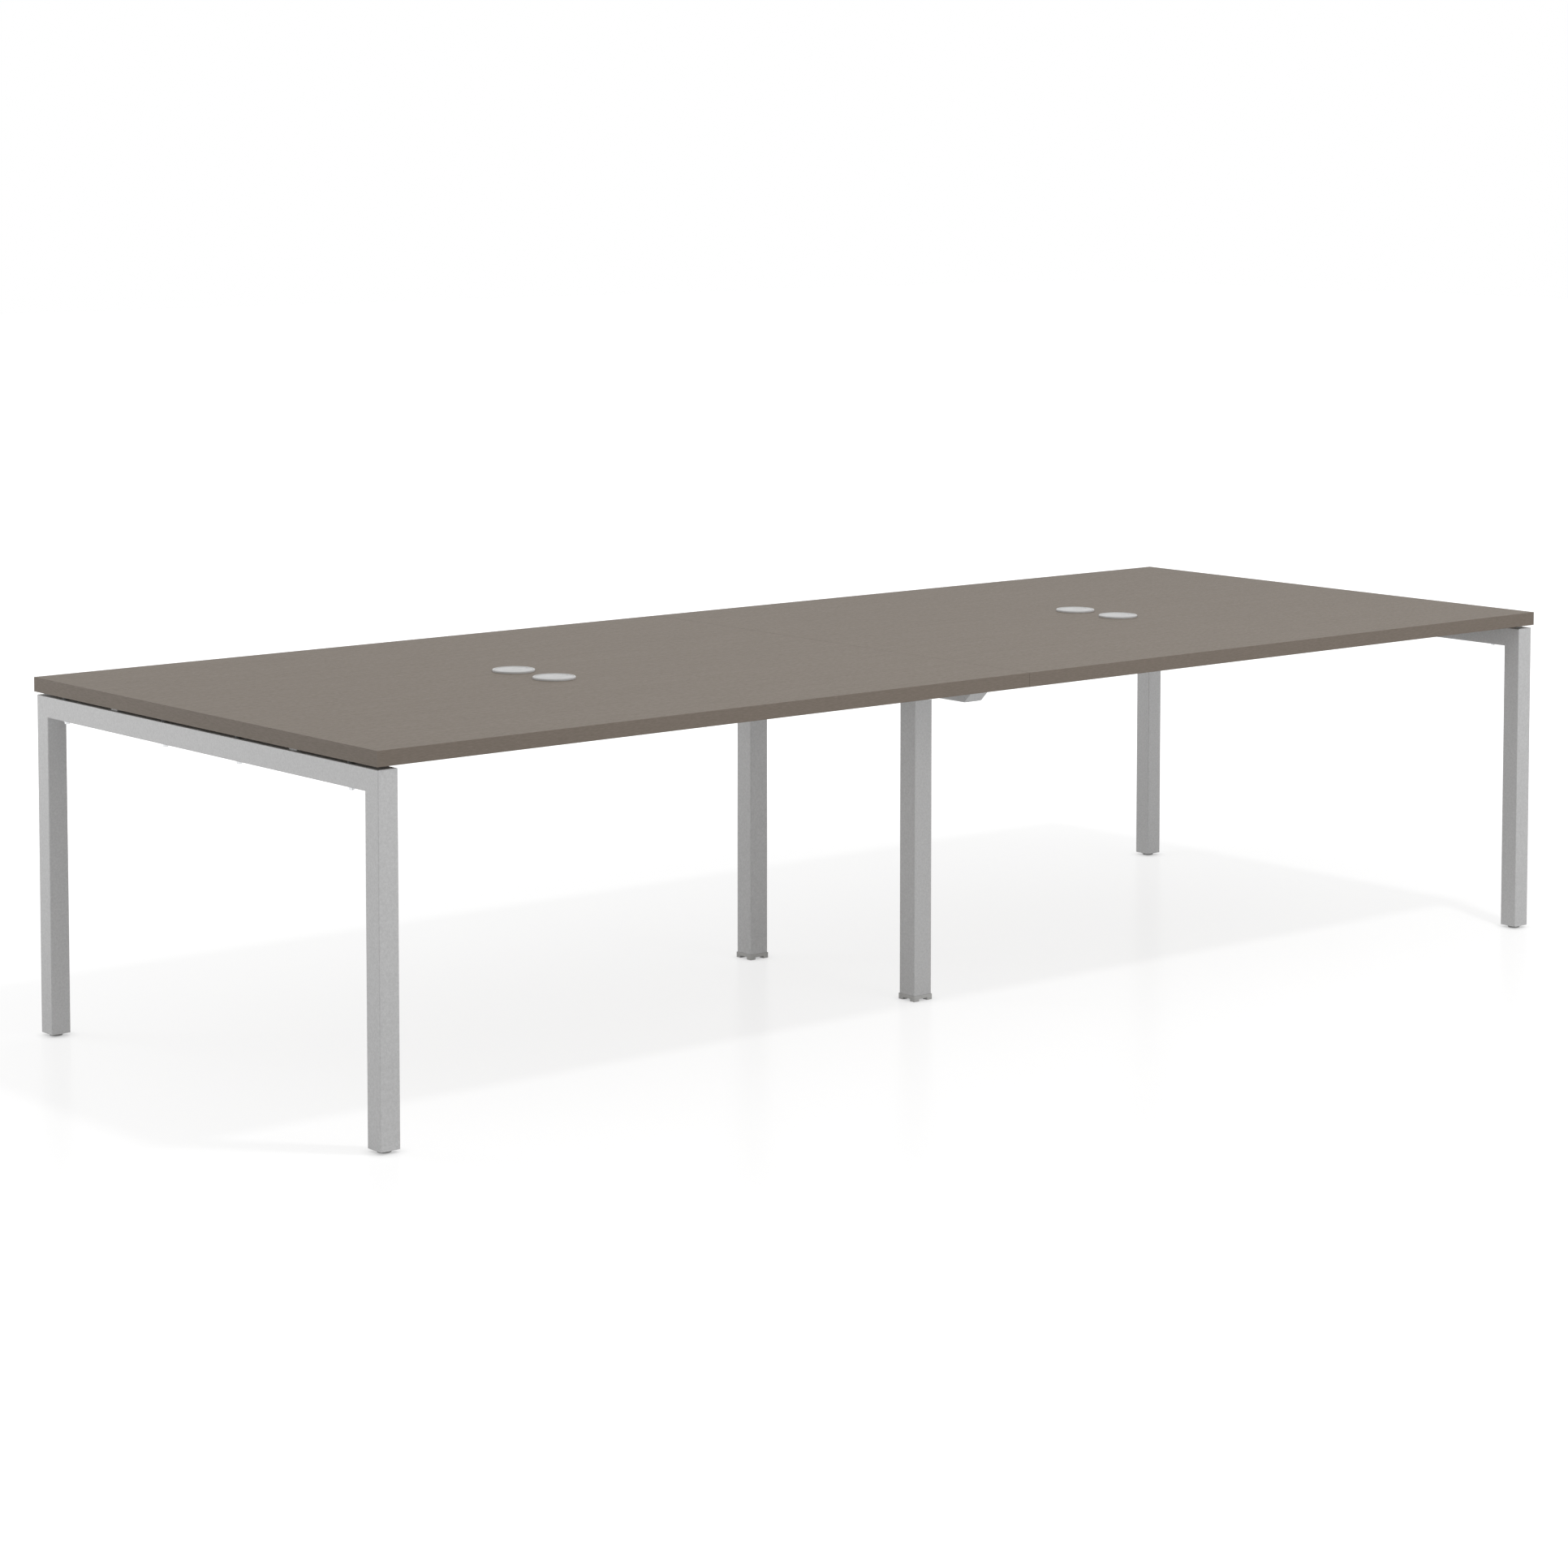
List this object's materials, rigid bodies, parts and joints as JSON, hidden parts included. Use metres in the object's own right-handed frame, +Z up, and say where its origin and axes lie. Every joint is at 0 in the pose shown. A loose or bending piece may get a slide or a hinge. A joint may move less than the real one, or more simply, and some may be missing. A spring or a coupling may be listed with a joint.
{
  "type": "coworking desk",
  "caption": "Long bench desk: wood-grain worktops side by side on silver-grey square-tube end frames and a middle frame, with round cable outlets and levelling feet.",
  "frame": {"origin": "on the floor, under the middle of the bench", "axes": "+X along the bench to the right, +Y to the back, +Z up; the front, nearest in the picture, is -Y"},
  "size_m": [3.2004, 1.2446, 0.7412],
  "materials": {
    "laminate": "matt wood-grain laminate on particle board",
    "edging": "matt wood-grain edge banding",
    "frame_coat": "silver-grey powder coat with a fine metallic speckle",
    "boot_plastic": "matt grey",
    "plug_plastic": "matt dark grey",
    "glide_plastic": "matt light grey",
    "zinc_steel": "zinc plated",
    "outlet_plastic": "satin pale grey"
  },
  "bodies": {
    "desk": {"cross_beam": "frame_coat", "cross_beam_end_plates": "frame_coat", "cross_beam_screws": "zinc_steel", "cross_beam_tongues": "frame_coat", "left_back_leg": "frame_coat", "left_back_outlet_liner": "outlet_plastic", "left_back_side_beam": "frame_coat", "left_front_leg": "frame_coat", "left_front_outlet_liner": "outlet_plastic", "left_front_side_beam": "frame_coat", "left_rail": "frame_coat", "left_rail_screws": "zinc_steel", "left_rail_spacers": "plug_plastic", "left_worktop_board": "laminate", "left_worktop_edging": "edging", "left_worktop_inserts": "zinc_steel", "leg_bushes": "zinc_steel", "leg_plugs": "plug_plastic", "middle_back_boot": "boot_plastic", "middle_back_leg": "frame_coat", "middle_front_boot": "boot_plastic", "middle_front_leg": "frame_coat", "middle_leg_bolts": "zinc_steel", "middle_leg_head_plates": "frame_coat", "middle_leg_nuts": "zinc_steel", "middle_leg_thread_plates": "zinc_steel", "rail_tongues": "frame_coat", "right_back_leg": "frame_coat", "right_back_outlet_liner": "outlet_plastic", "right_back_side_beam": "frame_coat", "right_front_leg": "frame_coat", "right_front_outlet_liner": "outlet_plastic", "right_front_side_beam": "frame_coat", "right_rail": "frame_coat", "right_rail_screws": "zinc_steel", "right_rail_spacers": "plug_plastic", "right_worktop_board": "laminate", "right_worktop_edging": "edging", "right_worktop_inserts": "zinc_steel", "tongue_nuts": "zinc_steel", "tongue_screws": "zinc_steel"},
    "left_front_foot": {"left_front_glide_pad": "glide_plastic", "left_front_glide_stem": "zinc_steel"},
    "left_front_lid": {"left_front_outlet_lid": "outlet_plastic"},
    "left_front_flap": {"left_front_outlet_flap": "outlet_plastic"},
    "left_back_foot": {"left_back_glide_pad": "glide_plastic", "left_back_glide_stem": "zinc_steel"},
    "left_back_lid": {"left_back_outlet_lid": "outlet_plastic"},
    "left_back_flap": {"left_back_outlet_flap": "outlet_plastic"},
    "right_front_foot": {"right_front_glide_pad": "glide_plastic", "right_front_glide_stem": "zinc_steel"},
    "right_front_lid": {"right_front_outlet_lid": "outlet_plastic"},
    "right_front_flap": {"right_front_outlet_flap": "outlet_plastic"},
    "right_back_foot": {"right_back_glide_pad": "glide_plastic", "right_back_glide_stem": "zinc_steel"},
    "right_back_lid": {"right_back_outlet_lid": "outlet_plastic"},
    "right_back_flap": {"right_back_outlet_flap": "outlet_plastic"},
    "middle_front_leveller": {"middle_front_levelling_bolt": "zinc_steel"},
    "middle_back_leveller": {"middle_back_levelling_bolt": "zinc_steel"}
  },
  "joints": [
    {"name": "left_front_foot_thread", "type": "slide", "parent": "desk", "child": "left_front_foot", "axis": [0, 0, 1], "range_m": [-0.015, 0]},
    {"name": "left_front_lid_lift", "type": "slide", "parent": "desk", "child": "left_front_lid", "axis": [0, 0, 1], "range_m": [0, 0.03]},
    {"name": "left_front_flap_hinge", "type": "hinge", "parent": "left_front_lid", "child": "left_front_flap", "pos_m": [-0.79145, -0.07, 0.7391], "axis": [0, -1, 0], "range_deg": [0, 95]},
    {"name": "left_back_foot_thread", "type": "slide", "parent": "desk", "child": "left_back_foot", "axis": [0, 0, 1], "range_m": [-0.015, 0]},
    {"name": "left_back_lid_lift", "type": "slide", "parent": "desk", "child": "left_back_lid", "axis": [0, 0, 1], "range_m": [0, 0.03]},
    {"name": "left_back_flap_hinge", "type": "hinge", "parent": "left_back_lid", "child": "left_back_flap", "pos_m": [-0.79145, 0.07, 0.7391], "axis": [0, -1, 0], "range_deg": [0, 95]},
    {"name": "right_front_foot_thread", "type": "slide", "parent": "desk", "child": "right_front_foot", "axis": [0, 0, 1], "range_m": [-0.015, 0]},
    {"name": "right_front_lid_lift", "type": "slide", "parent": "desk", "child": "right_front_lid", "axis": [0, 0, 1], "range_m": [0, 0.03]},
    {"name": "right_front_flap_hinge", "type": "hinge", "parent": "right_front_lid", "child": "right_front_flap", "pos_m": [0.80905, -0.07, 0.7391], "axis": [0, -1, 0], "range_deg": [0, 95]},
    {"name": "right_back_foot_thread", "type": "slide", "parent": "desk", "child": "right_back_foot", "axis": [0, 0, 1], "range_m": [-0.015, 0]},
    {"name": "right_back_lid_lift", "type": "slide", "parent": "desk", "child": "right_back_lid", "axis": [0, 0, 1], "range_m": [0, 0.03]},
    {"name": "right_back_flap_hinge", "type": "hinge", "parent": "right_back_lid", "child": "right_back_flap", "pos_m": [0.80905, 0.07, 0.7391], "axis": [0, -1, 0], "range_deg": [0, 95]},
    {"name": "middle_front_leveller_thread", "type": "slide", "parent": "desk", "child": "middle_front_leveller", "axis": [0, 0, 1], "range_m": [-0.012, 0]},
    {"name": "middle_back_leveller_thread", "type": "slide", "parent": "desk", "child": "middle_back_leveller", "axis": [0, 0, 1], "range_m": [-0.012, 0]}
  ]
}
